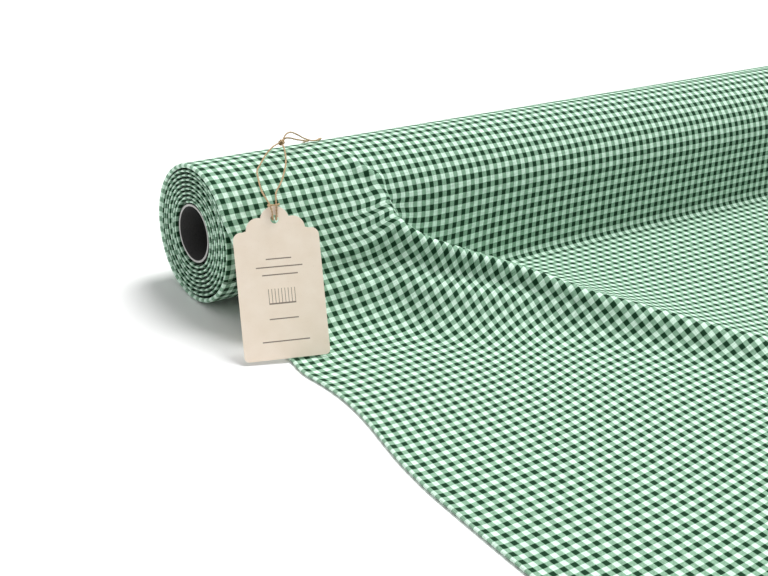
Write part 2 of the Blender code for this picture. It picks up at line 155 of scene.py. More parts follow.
KNOT_AT = (0.0517, -0.0080, 0.0900)
STRAND_LEFT = [
    (0.0154, -0.0512, 0.0781), (0.0158, -0.0470, 0.0798), (0.0172, -0.0422, 0.0810),
    (0.0194, -0.0370, 0.0822), (0.0235, -0.0282, 0.0845), (0.0283, -0.0236, 0.0860),
    (0.0369, -0.0158, 0.0880), (0.0446, -0.0106, 0.0894), (0.0494, -0.0086, 0.0899),
]
STRAND_RIGHT = [
    (0.0205, -0.0528, 0.0782), (0.0239, -0.0476, 0.0794), (0.0303, -0.0416, 0.0809),
    (0.0363, -0.0350, 0.0826), (0.0437, -0.0256, 0.0850), (0.0494, -0.0156, 0.0873),
    (0.0516, -0.0099, 0.0889),
]
TAIL_UPPER = [
    (0.0534, -0.0070, 0.0912), (0.0566, -0.0048, 0.0930), (0.0615, -0.0020, 0.0926),
    (0.0675, 0.0004, 0.0896), (0.0740, 0.0026, 0.0856), (0.0810, 0.0050, 0.0823),
    (0.0885, 0.0086, 0.0803), (0.0945, 0.0145, 0.0784), (0.0980, 0.0225, 0.0744),
    (0.0995, 0.0300, 0.0680),
]
TAIL_LOWER = [
    (0.0536, -0.0064, 0.0896), (0.0570, -0.0038, 0.0902), (0.0620, -0.0008, 0.0886),
    (0.0682, 0.0019, 0.0859), (0.0748, 0.0052, 0.0832), (0.0812, 0.0094, 0.0804),
    (0.0860, 0.0155, 0.0781), (0.0885, 0.0230, 0.0740), (0.0888, 0.0295, 0.0686),
]
# Across, up and out from the middle of the tag's hole.
HITCH = [
    (-0.0034, 0.0104, 0.0013), (-0.0023, 0.0082, 0.0013), (-0.0014, 0.0050, 0.0013),
    (-0.00115, 0.0020, 0.0013), (-0.0010, 0.0003, 0.00095), (-0.00095, -0.0003, 0.0),
    (-0.0010, 0.0003, -0.00095), (-0.0014, 0.0024, -0.0013), (-0.0020, 0.0054, -0.0013),
    (-0.0026, 0.0075, -0.0007), (-0.0029, 0.0078, 0.0009), (-0.0023, 0.0075, 0.0026),
    (0.0, 0.0073, 0.0031),
    (0.0023, 0.0075, 0.0026), (0.0029, 0.0078, 0.0009), (0.0026, 0.0075, -0.0007),
    (0.0020, 0.0054, -0.0013), (0.0014, 0.0024, -0.0013), (0.0010, 0.0003, -0.00095),
    (0.00095, -0.0003, 0.0), (0.0010, 0.0003, 0.00095), (0.00115, 0.0020, 0.0013),
    (0.0013, 0.0050, 0.0013), (0.0014, 0.0082, 0.0013), (0.0016, 0.0104, 0.0013),
]

# ---- The tag ---------------------------------------------------------

TAG_WIDTH = 0.047
TAG_SIDE_HEIGHT = 0.0646
TAG_HOLE_RADIUS = 0.0024
TAG_CORNER_RADIUS = 0.0025
TAG_FOOT = Vector((NEAR_X + 0.0090, AXIS_Y - 0.0905, 0.0022))
TAG_YAW, TAG_LEAN, TAG_TILT = math.radians(-19.0), math.radians(28.0), math.radians(2.1)
ARCH_UP, ARCH_RADIUS = 0.0091, 0.0080
SCALLOP_ACROSS, SCALLOP_UP, SCALLOP_RADIUS = 0.0095, 0.0047, 0.0066
SHOULDER_RADIUS = 0.0042
HOLE_UP = 0.0101


# ---- Material helpers ------------------------------------------------

class Finish:
    """A node material. Its methods add one node each and give back that node's output."""

    def __init__(self, name):
        self.material = bpy.data.materials.new(name)
        self.material.use_nodes = True
        self.tree = self.material.node_tree
        self.shader = self.tree.nodes["Principled BSDF"]

    def plug(self, socket, value):
        if isinstance(value, bpy.types.NodeSocket):
            self.tree.links.new(value, socket)
        elif isinstance(value, tuple) and len(value) == 3 and socket.type == "RGBA":
            socket.default_value = (*value, 1.0)
        else:
            socket.default_value = value

    def node(self, kind, settings=None, **inputs):
        made = self.tree.nodes.new(kind)
        for key, value in (settings or {}).items():
            setattr(made, key, value)
        for key, value in inputs.items():
            self.plug(made.inputs[key.replace("_", " ")], value)
        return made

    def math(self, operation, *values):
        made = self.tree.nodes.new("ShaderNodeMath")
        made.operation = operation
        for socket, value in zip(made.inputs, values):
            self.plug(socket, value)
        return made.outputs[0]

    def clamped(self, value):
        made = self.tree.nodes.new("ShaderNodeClamp")
        self.plug(made.inputs["Value"], value)
        return made.outputs[0]

    def uv(self):
        made = self.node("ShaderNodeSeparateXYZ", Vector=self.node("ShaderNodeUVMap").outputs[0])
        return made.outputs[0], made.outputs[1]

    def vector(self, x, y, z=0.0):
        return self.node("ShaderNodeCombineXYZ", X=x, Y=y, Z=z).outputs[0]

    def scaled(self, vector, x, y):
        made = self.node("ShaderNodeVectorMath", {"operation": "MULTIPLY"})
        self.plug(made.inputs[0], vector)
        made.inputs[1].default_value = (x, y, 1.0)
        return made.outputs[0]

    def noise(self, vector, scale, detail=3.0, roughness=0.5):
        made = self.node("ShaderNodeTexNoise", Vector=vector, Scale=scale, Detail=detail,
                         Roughness=roughness)
        return made.outputs[0]

    def ramp(self, value, stops):
        made = self.node("ShaderNodeValToRGB", Fac=value)
        elements = made.color_ramp.elements
        while len(elements) < len(stops):
            elements.new(0.5)
        for element, (place, colour) in zip(elements, stops):
            element.position = place
            element.color = (*colour, 1.0)
        return made.outputs[0]

    def mixed(self, share, a, b, blend="MIX"):
        made = self.node("ShaderNodeMix", {"data_type": "RGBA", "blend_type": blend})
        self.plug(made.inputs[0], share)
        self.plug(made.inputs[6], a)
        self.plug(made.inputs[7], b)
        return made.outputs[2]

    def bump(self, height, distance, strength):
        made = self.node("ShaderNodeBump", Height=height, Distance=distance, Strength=strength)
        self.plug(self.shader.inputs["Normal"], made.outputs[0])

    def surface(self, colour, **values):
        self.plug(self.shader.inputs["Base Color"], colour)
        for key, value in values.items():
            self.plug(self.shader.inputs[key.replace("_", " ")], value)
        return self.material


def object_place(finish):
    return finish.node("ShaderNodeTexCoord").outputs["Object"]


# ---- Materials -------------------------------------------------------

WHITE_YARN = (0.67, 0.88, 0.74)
MIXED_YARN = (0.220, 0.405, 0.270)
GREEN_YARN = (0.003, 0.036, 0.012)
YARN = 0.00042  # pitch of the weave
STRIPE_EDGE = 9.0  # how sharply a stripe starts; higher is sharper
WANDER_SCALE, WANDER = 300.0, 0.07  # how often and how far stripes stray, as a share of the check
OVER_SHARE = 0.22  # how much more of the yarn on top shows
SLUB_ACROSS, SLUB_ALONG = 1300.0, 110.0  # how often yarns change thickness, across and along them
SLUB_DEPTH = 0.75


def stripe(finish, along, wander):
    """1 on the green stripes and 0 between them, with an edge as soft as a yarn is wide."""
    turned = finish.math("FRACT", finish.math("ADD", finish.math("DIVIDE", along, CHECK), wander))
    wave = finish.math("ABSOLUTE", finish.math("SUBTRACT", turned, 0.5))
    return finish.clamped(finish.math("MULTIPLY_ADD", finish.math("SUBTRACT", 0.25, wave),
                                      STRIPE_EDGE * 2, 0.5))


def gingham():
    """Plain weave in two colours: green where both yarns are green, mixed where one of them is."""
    finish = Finish("gingham")
    u, v = finish.uv()
    place = finish.vector(u, v)
    wander = finish.math("MULTIPLY", finish.math("SUBTRACT", finish.noise(place, WANDER_SCALE), 0.5),
                         WANDER)
    warp, weft = stripe(finish, u, wander), stripe(finish, v, wander)
    across = finish.math("SINE", finish.math("MULTIPLY", u, math.pi / YARN))
    along = finish.math("SINE", finish.math("MULTIPLY", v, math.pi / YARN))
    weave = finish.math("MULTIPLY", across, along)
    warp_share = finish.math("MULTIPLY_ADD", weave, OVER_SHARE, 0.5)
    difference = finish.math("SUBTRACT", warp, weft)
    green = finish.math("MULTIPLY_ADD", difference, warp_share, weft)
    colour = finish.ramp(green, [(0.0, WHITE_YARN), (0.5, MIXED_YARN), (1.0, GREEN_YARN)])
    slub_warp = finish.noise(finish.scaled(place, SLUB_ACROSS, SLUB_ALONG), 1.0, 3.0)
    slub_weft = finish.noise(finish.scaled(place, SLUB_ALONG, SLUB_ACROSS), 1.0, 3.0)
    slub = finish.math("MULTIPLY_ADD", finish.math("ADD", slub_warp, slub_weft), SLUB_DEPTH,
                       1.0 - SLUB_DEPTH)
    colour = finish.mixed(1.0, colour, finish.vector(slub, slub, slub), "MULTIPLY")
    finish.bump(finish.math("ADD", weave, slub), 0.00010, 0.6)
    return finish.surface(colour, Roughness=0.88, Sheen_Weight=0.05, Sheen_Roughness=0.5,
                          Specular_IOR_Level=0.15)


def tube_paper_and_bore_shade():
    """Dark grey wound board, its colour partly the board's own and partly painted shade for the inside of
    the bore: a spiral seam between strips, and fibres.
    """
    finish = Finish("core_paper")
    round_tube, along = finish.uv()
    place = finish.vector(round_tube, along)
    fibre = finish.noise(finish.scaled(place, 500.0, 2600.0), 1.0, 4.0, 0.65)
    turn = finish.math("ADD", finish.math("DIVIDE", along, STRIP_PITCH),
                       finish.math("DIVIDE", round_tube, 2 * math.pi * TUBE_RADIUS))
    seam = finish.math("LESS_THAN", finish.math("FRACT", turn), 0.012)
    # The board's dark grey, made darker still as painted shade for the inside of the bore.
    colour = finish.ramp(fibre, [(0.30, (0.024, 0.024, 0.024)), (0.70, (0.060, 0.059, 0.057))])
    colour = finish.mixed(finish.math("MULTIPLY", seam, 0.7), colour, (0.02, 0.02, 0.02))
    finish.bump(finish.math("SUBTRACT", fibre, seam), 0.00015, 0.7)
    return finish.surface(colour, Roughness=0.72)


def cut_paper():
    """The tube's cut ends, which show its paler inner plies."""
    finish = Finish("core_cut_end")
    place = object_place(finish)
    fibre = finish.noise(place, 1800.0, 3.0)
    colour = finish.ramp(fibre, [(0.3, (0.36, 0.36, 0.35)), (0.7, (0.58, 0.58, 0.56))])
    finish.bump(fibre, 0.00008, 0.6)
    return finish.surface(colour, Roughness=0.85)


def paper_tape():
    finish = Finish("tape")
    place = object_place(finish)
    fibre = finish.noise(place, 900.0, 4.0)
    colour = finish.ramp(fibre, [(0.3, (0.55, 0.46, 0.32)), (0.7, (0.72, 0.63, 0.47))])
    finish.bump(fibre, 0.00005, 0.5)
    return finish.surface(colour, Roughness=0.45)


def tag_card():
    finish = Finish("tag_card")
    across, up = finish.uv()
    place = finish.vector(across, up)
    fibre = finish.noise(place, 1500.0, 4.0, 0.6)
    blotch = finish.noise(place, 90.0, 3.0)
    colour = finish.ramp(blotch, [(0.3, (0.90, 0.77, 0.63)), (0.7, (0.95, 0.83, 0.70))])
    fleck = finish.math("GREATER_THAN", finish.noise(place, 2100.0, 2.0), 0.70)
    colour = finish.mixed(finish.math("MULTIPLY", fleck, 0.30), colour, (0.42, 0.32, 0.22))
    print_mask = printed_rules(finish, across, up)
    colour = finish.mixed(finish.math("MULTIPLY", print_mask, 0.82), colour, (0.10, 0.075, 0.055))
    finish.bump(fibre, 0.00006, 0.5)
    return finish.surface(colour, Roughness=0.78, Specular_IOR_Level=0.3)


# Rules printed on the tag: height above its foot, half width and half height, in metres.
TAG_RULES = [(0.0536, 0.0070, 0.00032), (0.0493, 0.0128, 0.00032), (0.0451, 0.0098, 0.00032),
              (0.0215, 0.0080, 0.00032), (0.0095, 0.0130, 0.00032)]
SCALE_UP, SCALE_HALF_WIDTH, SCALE_HALF_HEIGHT, SCALE_TICK = 0.0335, 0.0072, 0.0042, 0.0018
SCALE_LINE_HALF, SCALE_MARGIN, TICK_SHARE = 0.0004, 0.0002, 0.09


def inside(finish, value, centre, half):
    """1 where the value lies within half of the centre, and 0 elsewhere."""
    distance = finish.math("ABSOLUTE", finish.math("SUBTRACT", value, centre))
    return finish.math("LESS_THAN", distance, half)


def printed_rules(finish, across, up):
    """Plain rules where a tag has its lines of words, and a short scale with ticks between them."""
    mask = 0.0
    for height, half_width, half_height in TAG_RULES:
        bar = finish.math("MULTIPLY", inside(finish, up, height, half_height),
                          inside(finish, across, 0.0, half_width))
        mask = finish.math("MAXIMUM", mask, bar)
    in_scale = finish.math("MULTIPLY", inside(finish, up, SCALE_UP, SCALE_HALF_HEIGHT),
                           inside(finish, across, 0.0, SCALE_HALF_WIDTH + SCALE_MARGIN))
    place = finish.math("FRACT", finish.math("ADD", finish.math("DIVIDE", across, SCALE_TICK), 0.5))
    tick = finish.math("MULTIPLY", in_scale, inside(finish, place, 0.5, TICK_SHARE))
    line_up = SCALE_UP - SCALE_HALF_HEIGHT + SCALE_LINE_HALF
    line = finish.math("MULTIPLY", in_scale, inside(finish, up, line_up, SCALE_LINE_HALF))
    return finish.math("MAXIMUM", mask, finish.math("MAXIMUM", tick, line))


def jute():
    finish = Finish("twine")
    round_ply, along = finish.uv()
    place = finish.vector(round_ply, along)
    fibre = finish.noise(finish.scaled(place, 5200.0, 300.0), 1.0, 3.0, 0.6)
    patch = finish.noise(place, 220.0, 2.0)
    shade = finish.math("MULTIPLY_ADD", patch, 0.5, finish.math("MULTIPLY", fibre, 0.5))
    colour = finish.ramp(shade, [(0.30, (0.33, 0.205, 0.095)), (0.55, (0.62, 0.44, 0.25)),
                                 (0.80, (0.82, 0.66, 0.44))])
    finish.bump(fibre, 0.00008, 0.7)
    return finish.surface(colour, Roughness=0.85, Sheen_Weight=0.15)


def plain_white(name, level):
    finish = Finish(name)
    return finish.surface((level, level, level), Roughness=0.6, Specular_IOR_Level=0.2)


# ---- Mesh helpers ----------------------------------------------------

def added(name, data):
    """A new object that holds the given data, in the scene."""
    made = bpy.data.objects.new(name, data)
    bpy.context.scene.collection.objects.link(made)
    return made


def run_along(points):
    """How far along a line each of its points lies."""
    steps = np.linalg.norm(np.diff(points, axis=0), axis=1)
    return np.concatenate([[0.0], np.cumsum(steps)])


def quad_corners(u0, u1, v0, v1):
    """The (u, v) of a quad's four corners, in the order that its face lists them."""
    return [(u0, v0), (u1, v0), (u1, v1), (u0, v1)]


def mesh_piece(name, points, faces, uvs, finish, sharp_deg):
    """A smooth-shaded mesh. uvs holds one (u, v) for each corner of each face, in the faces' order."""
    mesh = bpy.data.meshes.new(name)
    mesh.from_pydata(np.asarray(points, float).tolist(), [], faces)
    layer = mesh.uv_layers.new(name="UVMap")
    layer.data.foreach_set("uv", np.asarray(uvs, np.float32).ravel())
    mesh.validate()
    mesh.shade_smooth()
    mesh.set_sharp_from_angle(angle=math.radians(sharp_deg))
    mesh.materials.append(finish)
    return added(name, mesh)


def blurred(values, sigma):
    """Values smoothed along their first axis, sigma in steps of that axis."""
    reach = max(1, int(3 * sigma))
    kernel = np.exp(-0.5 * (np.arange(-reach, reach + 1) / sigma) ** 2)
    kernel /= kernel.sum()
    padded = np.concatenate([values[:1].repeat(reach, 0), values, values[-1:].repeat(reach, 0)])
    count = len(values)
    return sum(k * padded[i:i + count] for i, k in enumerate(kernel))


def unit(vectors):
    """The vectors along the last axis, each made 1 long."""
    return vectors / np.maximum(np.linalg.norm(vectors, axis=-1, keepdims=True), 1e-12)


# ---- The surface that the free sheet lies in -------------------------

def rounded_corner(before, corner, after, reach, steps=10):
    """A quadratic curve in place of a corner."""
    back, ahead = before - corner, after - corner
    start = corner + unit(back) * min(reach, 0.45 * np.linalg.norm(back))
    end = corner + unit(ahead) * min(reach, 0.45 * np.linalg.norm(ahead))
    t = np.linspace(0, 1, steps + 1)[:, None]
    return start * (1 - t) ** 2 + corner * 2 * t * (1 - t) + end * t**2


def profile(distance, section):
    """The sheet's underside at one distance, as (out, up) points from the roll's top to past its end."""
    valley, crest, foot = section[:2], section[2:4], np.array([section[4], 0.0])
    out, up = valley[0], valley[1] - AXIS_Z
    leave = math.atan2(out, up) - math.acos(SHEET_RADIUS / math.hypot(out, up))
    angles = np.linspace(0, leave, 60)
    hug = np.stack([SHEET_RADIUS * np.sin(angles), AXIS_Z + SHEET_RADIUS * np.cos(angles)], 1)
    share = min(1.0, max(0.0, distance) / FOOT_ROUND_FULL_AT)
    foot_round = FOOT_ROUND_AT_END + (FOOT_ROUND - FOOT_ROUND_AT_END) * share
    end = np.array([FREE_REACH + 4 * SURFACE_MARGIN, 0.0])
    over_crest = rounded_corner(valley, crest, foot, CREST_ROUND)
    at_foot = rounded_corner(crest, foot, end, foot_round)
    return np.concatenate([
        hug,
        rounded_corner(hug[-1], valley, crest, VALLEY_ROUND),
        over_crest,
        hollow_run(over_crest[-1], at_foot[0], distance),
        at_foot,
        end[None],
    ])


def hollow_run(start, end, distance, steps=24):
    """The near face of the fold between two (out, up) points, hollow in its upper part."""
    t = np.linspace(0, 1, steps + 1)[1:-1, None]
    depth = HOLLOW_DEPTH * math.exp(-(((distance - HOLLOW_AT) / HOLLOW_REACH) ** 2))
    inwards = unit(np.array([start[1] - end[1], end[0] - start[0]])) * -1
    bulge = np.sin(math.pi * t**HOLLOW_SKEW) ** HOLLOW_NARROWING
    return start + (end - start) * t + inwards * depth * bulge


def edge_lift(distance, out):
    """How far the sheet's folded edge stands off the table, in front of the roll."""
    share = np.clip((out - LIFT_START) / (LIFT_END - LIFT_START), 0, 1)
    fade = np.exp(-((max(0.0, distance) / LIFT_FADE) ** 2))
    return EDGE_LIFT * np.sin(math.pi * share) ** 2 * fade


def drape_surface():
    """Points of the sheet's underside on a regular grid: distance from the near end, and length along
    the cloth from the roll's top."""
    distances = np.arange(-SURFACE_MARGIN, BOLT_LENGTH + SURFACE_MARGIN, SURFACE_STEP)
    table = np.array(SECTIONS)
    sections = np.stack([np.interp(distances, table[:, 0], table[:, k]) for k in range(1, 6)], 1)
    sections = blurred(sections * ROLL_RADIUS, SECTION_BLUR / SURFACE_STEP)
    lengths = np.arange(0.0, FREE_REACH + SURFACE_SLACK, SURFACE_STEP)
    rows = []
    for distance, section in zip(distances, sections):
        line = profile(distance, section)
        line[:, 1] += edge_lift(distance, line[:, 0])
        run = run_along(line)
        out, up = np.interp(lengths, run, line[:, 0]), np.interp(lengths, run, line[:, 1])
        rows.append(np.stack([np.full_like(out, NEAR_X + distance), AXIS_Y - out, up], 1))
    return np.array(rows)


class Surface:
    """The grid above as a function of (distance, length), with its two slopes."""

    def __init__(self, grid):
        self.grid = grid
        self.by_distance = np.gradient(grid, SURFACE_STEP, axis=0)
        self.by_length = np.gradient(grid, SURFACE_STEP, axis=1)

    def at(self, values, distance, length):
        """One of the three grids, read between its points."""
        i = np.clip((distance + SURFACE_MARGIN) / SURFACE_STEP, 0, self.grid.shape[0] - 1.001)
        j = np.clip(length / SURFACE_STEP, 0, self.grid.shape[1] - 1.001)
        a, b = i.astype(int), j.astype(int)
        s, t = (i - a)[..., None], (j - b)[..., None]
        low = values[a, b] * (1 - t) + values[a, b + 1] * t
        high = values[a + 1, b] * (1 - t) + values[a + 1, b + 1] * t
        return low * (1 - s) + high * s


def spring_pull(points, rest, near, far):
    """How two sets of points, each a slice of the same grid, pull at each other to be rest apart."""
    edge = points[far] - points[near]
    length = np.linalg.norm(edge, axis=-1, keepdims=True)
    return edge * (0.5 * (1 - rest / np.maximum(length, 1e-9)))


def relax(surface, distance, length, cell, steps):
    """Slides the cloth's points over the surface until its threads have their real lengths."""
    diagonal = cell * math.sqrt(2)
    ahead, behind, all_rows = slice(1, None), slice(None, -1), slice(None)
    springs = [
        (1.0, cell, (behind, all_rows), (ahead, all_rows)),
        (1.0, cell, (all_rows, behind), (all_rows, ahead)),
        (SHEAR_STIFFNESS, diagonal, (behind, behind), (ahead, ahead)),
        (SHEAR_STIFFNESS, diagonal, (behind, ahead), (ahead, behind)),
    ]
    held = round(HUGGING_LENGTH / cell) + 1
    moved = [np.zeros_like(distance), np.zeros_like(length)]
    for _ in range(steps):
        points = surface.at(surface.grid, distance, length)
        push = np.zeros_like(points)
        for weight, rest, near, far in springs:
            pull = weight * spring_pull(points, rest, near, far)
            push[near] += pull
            push[far] -= pull
        along_x = surface.at(surface.by_distance, distance, length)
        along_cloth = surface.at(surface.by_length, distance, length)
        a, b, c = ((p * q).sum(-1) for p, q in
                   ((along_x, along_x), (along_x, along_cloth), (along_cloth, along_cloth)))
        p, q = (along_x * push).sum(-1), (along_cloth * push).sum(-1)
        scale = np.maximum(a * c - b * b, LEAST_SLOPE)
        moved[0] = MOMENTUM * moved[0] + RELAX_STEP * (c * p - b * q) / scale
        moved[1] = MOMENTUM * moved[1] + RELAX_STEP * (a * q - b * p) / scale
        for move in moved:
            move[:, :held] = 0.0
        distance, length = distance + moved[0], length + moved[1]
    return distance, length


def doubled(values):
    """The grid with a new row and column half way between each two."""
    for _ in range(2):
        padded = np.concatenate([2 * values[:1] - values[1:2], values, 2 * values[-1:] - values[-2:-1]])
        middle = (9 * (padded[1:-2] + padded[2:-1]) - padded[:-3] - padded[3:]) / 16
        joined = np.empty((2 * len(values) - 1, values.shape[1]))
        joined[::2] = values
        joined[1::2] = middle
        values = joined.T
    return values


def sheet_underside(surface):
    """The free sheet's underside, a point at each cell corner of the cloth."""
    cell = CELL * FIRST_CELLS
    columns, rows = round(BOLT_LENGTH / cell), int((FREE_REACH + SHEET_SLACK) / cell)
    distance, length = np.meshgrid(np.arange(columns + 1) * cell, np.arange(rows + 1) * cell,
                                   indexing="ij")
    for steps in RELAX_ROUNDS:
        distance, length = relax(surface, distance, length, cell, steps)
        distance, length = doubled(distance), doubled(length)
        cell /= 2
    points = surface.at(surface.grid, distance, length)
    out, drawn = np.array(DRAWN_IN).T
    fade = np.exp(-((distance / DRAWN_REACH) ** 2))
    points[..., 0] += blurred_interp(AXIS_Y - points[..., 1], out, drawn) * fade
    return points


def blurred_interp(values, places, heights, spread=0.006):
    """Straight runs between the given heights, with their corners smoothed over the spread."""
    shares = (-1, -0.5, 0, 0.5, 1)
    return sum(np.interp(values + k * spread, places, heights) for k in shares) / len(shares)


def smooth_step(values, start, end):
    """0 up to the start and 1 from the end on, with an even rise between them."""
    t = np.clip((values - start) / (end - start), 0, 1)
    return t * t * (3 - 2 * t)


def relief(across, along):
    """How far the cloth stands off its plain surface: the ridge up the roll, and pulls beside it."""
    ridge_across, ridge_along = np.array(RIDGE).T
    side = across[:, None] - np.interp(along, ridge_along, ridge_across)[None]
    width = np.where(side < 0, RIDGE_LEFT, RIDGE_RIGHT)
    height = smooth_step(along, *RIDGE_RISE) * (1 - smooth_step(along, *RIDGE_FALL))
    ridge = RIDGE_HEIGHT * height[None] * np.exp(-((side / width) ** 2))
    a, b = across[:, None] - PULL_AT[0], along[None] - PULL_AT[1]
    slanted = a * PULL_SLANT[0] + b * PULL_SLANT[1]
    wave = np.cos(2 * math.pi * slanted / PULL_LENGTH + PULL_TURN * a / PULL_TURN_WIDTH)
    pulls = PULL_HEIGHT * (1 + wave) * np.exp(-(a * a + b * b) / PULL_REACH**2)
    return ridge + pulls


# ---- Doubled cloth ---------------------------------------------------

def fold_profile(width, bead, fade, columns, groove_shade_shift=0.0):
    """One closed section across doubled cloth, from the far end's gap between its plies: for each point
    its place across, its height as a share of the thickness, how much of the fold's swelling it has,
    and its place in the pattern."""
    across = np.asarray(columns)
    swelling = np.exp(-((across / fade) ** 2))
    top = [(width - FAR_GAP, 0.5, 0.0), (width, 0.56, 0.0), (width, 0.97, 0.0)]
    top += [(a, 1.0, s) for a, s in zip(across[::-1], swelling[::-1]) if bead < a < width - 1e-6]
    turn = np.linspace(90, 270, 11)[1:-1]
    fold = [(bead + bead * math.cos(math.radians(t)), 0.5 + 0.5 * math.sin(math.radians(t)), 1.0)
            for t in turn]
    bottom = [(a, 1.0 - h, s) for a, h, s in reversed(top)]
    points = np.array(top + [(bead, 1.0, 1.0)] + fold + [(bead, 0.0, 1.0)] + bottom[:-1])
    count = len(points)
    half = (count - 1) / 2
    # A shift of the pattern towards the fold; on the wound cloth it puts green stripes in the grooves
    # between turns as painted shade.
    pattern = np.where(np.arange(count) <= half, points[:, 0] + groove_shade_shift, -points[:, 0] - groove_shade_shift)
    fold_share = np.clip((np.arange(count) - len(top)) / (len(turn) + 1), 0, 1)
    in_fold = (fold_share > 0) & (fold_share < 1)
    pattern = np.where(in_fold, (bead + groove_shade_shift) * (1 - 2 * fold_share), pattern)
    return points, pattern


def wrapped_cloth(name, place, rows, profile_points, pattern, lengths, finish):
    """A closed mesh of doubled cloth. place(row, across, height, swelling) gives points in space."""
    across, height, swelling = profile_points.T
    grid = np.array([place(row, across, height, swelling) for row in rows])
    rows, count = grid.shape[:2]
    index = np.arange(rows * count).reshape(rows, count)
    nxt = np.roll(index, -1, axis=1)
    sides = np.stack([index[:-1], nxt[:-1], nxt[1:], index[1:]], -1).reshape(-1, 4)
    u0, u1 = pattern, np.append(pattern[1:], pattern[-1] - FAR_GAP)
    v0, v1 = lengths[:-1, None], lengths[1:, None]
    corners = [(u0 + 0 * v0, v0 + 0 * u0), (u1 + 0 * v0, v0 + 0 * u0),
               (u1 + 0 * v0, v1 + 0 * u0), (u0 + 0 * v0, v1 + 0 * u0)]
    uvs = np.stack([np.stack(c, -1) for c in corners], 2).reshape(-1, 2)
    faces, uvs = sides.tolist(), uvs.tolist()
    for row, turned in ((0, True), (rows - 1, False)):
        for order in cut_end(count, turned):
            faces.append([int(index[row, c]) for c in order])
            uvs += [(pattern[c], lengths[row]) for c in order]
    return mesh_piece(name, grid.reshape(-1, 3), faces, uvs, finish, 60)


def cut_end(count, turned):
    """The faces that close a section of count points, each between one ply and the other."""
    for k in range((count - 1) // 2):
        corner = [k, k + 1, (count - k - 1) % count, (count - k) % count]
        if len(set(corner)) < 3:
            continue
        corner = [c for i, c in enumerate(corner) if c not in corner[:i]]
        yield corner[::-1] if turned else corner


def spaced(*runs):
    """Places in runs of (end, step), each run starting where the last one ended."""
    places, start = [], 0.0
    for end, step in runs:
        places += list(np.arange(start, end - step / 2, step))
        start = end
    return np.array([*places, start])


def outer_cloth_grid():
    """The underside of the outer turn and the free sheet as one grid, and how far along each row is."""
    under = sheet_underside(Surface(drape_surface()))
    turn_rows = round(math.radians(OUTER_TURN_DEG) * SHEET_RADIUS / CELL)
    angles = -np.arange(turn_rows, 0, -1) * CELL / SHEET_RADIUS
    turn = np.empty((len(under), turn_rows, 3))
    turn[..., 0] = (NEAR_X + np.arange(len(under)) * CELL)[:, None]
    turn[..., 1] = AXIS_Y - SHEET_RADIUS * np.sin(angles)
    turn[..., 2] = AXIS_Z + SHEET_RADIUS * np.cos(angles)
    points = np.concatenate([turn, under], axis=1)
    along = (np.arange(points.shape[1]) - turn_rows) * CELL
    return points, along


def grid_normals(points):
    """Unit normals on the cloth's outer side."""
    normals = unit(np.cross(np.gradient(points, axis=0), np.gradient(points, axis=1)))
    return normals * np.sign(normals[-1, -1, 2])


def make_outer_cloth(finish):
    """The outer turn and the free sheet as one piece of doubled cloth."""
    points, along = outer_cloth_grid()
    points = points + grid_normals(points) * relief(np.arange(len(points)) * CELL, along)[..., None]
    normals = grid_normals(points)
    on_roll = np.clip((ON_ROLL_UNTIL - along) / ON_ROLL_FADE, 0, 1)
    last = len(points) - 1.001

    def place(row, across, height, swelling):
        step = np.clip(across / CELL, 0, last)
        i = step.astype(int)
        t = (step - i)[:, None]
        point = points[i, row] * (1 - t) + points[i + 1, row] * t
        normal = unit(normals[i, row] * (1 - t) + normals[i + 1, row] * t)
        extra = (FOLD_BEAD - CLOTH_THICKNESS) * swelling
        low = -extra * on_roll[row]
        high = CLOTH_THICKNESS + 0.5 * extra * (1 - on_roll[row])
        return point + normal * (low + height * (high - low))[:, None]

    rows = np.unique(np.concatenate([
        np.arange(0, len(along), FLAT_STRIDE),
        np.flatnonzero(along < 0)[::TURN_STRIDE],
        np.flatnonzero((along >= 0) & (along < FINE_UNTIL)),
        [len(along) - 1],
    ]))
    section, pattern = fold_profile(BOLT_LENGTH, OUTER_BEAD_DEPTH, BEAD_FADE,
                                    spaced(*OUTER_COLUMNS))
    piece = wrapped_cloth("outer_cloth", place, rows, section, pattern, along[rows], finish)
    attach(piece, "cloth")
    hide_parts("outer_turn", "free_sheet")


def make_wound_cloth(finish):
    """The turns under the outer one: a spiral ribbon whose folded edge makes the ring of beads."""
    total = TURNS * 2 * math.pi
    pitch = (WOUND_OUTSIDE - WOUND_INSIDE) / (TURNS + TURN_FILL)
    first = WOUND_INSIDE + pitch * TURN_FILL / 2
    grow = pitch / (2 * math.pi)
    length = first * total + grow * total**2 / 2
    rows = round(length / WOUND_ROW_STEP)
    along = np.linspace(0, length, rows)
    angle = (np.sqrt(first**2 + 2 * grow * along) - first) / grow
    radius = first + grow * angle
    turn = angle - total - math.radians(OUTER_TURN_DEG)
    chance = random.Random(4)
    ripple = sum(np.sin(angle * rate + chance.uniform(0, 6)) for rate in RIPPLE_RATES)
    edge_shift = EDGE_RIPPLE * (ripple / (len(RIPPLE_RATES) / 2) + 1)

    def place(row, across, height, swelling):
        fill = BODY_FILL + (TURN_FILL - BODY_FILL) * swelling
        away = radius[row] + (height - 0.5) * fill * pitch
        share = (away - WOUND_INSIDE) / (WOUND_OUTSIDE - WOUND_INSIDE)
        away = away + PACK_SAG * share * (1 - np.cos(turn[row])) / 2
        x = NEAR_X + across + edge_shift[row] * swelling
        return np.stack([x, AXIS_Y - away * np.sin(turn[row]), AXIS_Z + away * np.cos(turn[row])], 1)

    # The wound cloth's pattern is drawn in at its fold, putting green stripes in the grooves between turns
    # as painted shade.
    section, pattern = fold_profile(BOLT_LENGTH, BEAD_DEPTH, BEAD_FADE, spaced(*WOUND_COLUMNS),
                                    GROOVE_SHADE_GATHER)
    piece = wrapped_cloth("wound_turns", place, np.arange(rows), section, pattern, along, finish)
    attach(piece, "roll")
    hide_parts("wound_cloth")


# ---- The tube --------------------------------------------------------

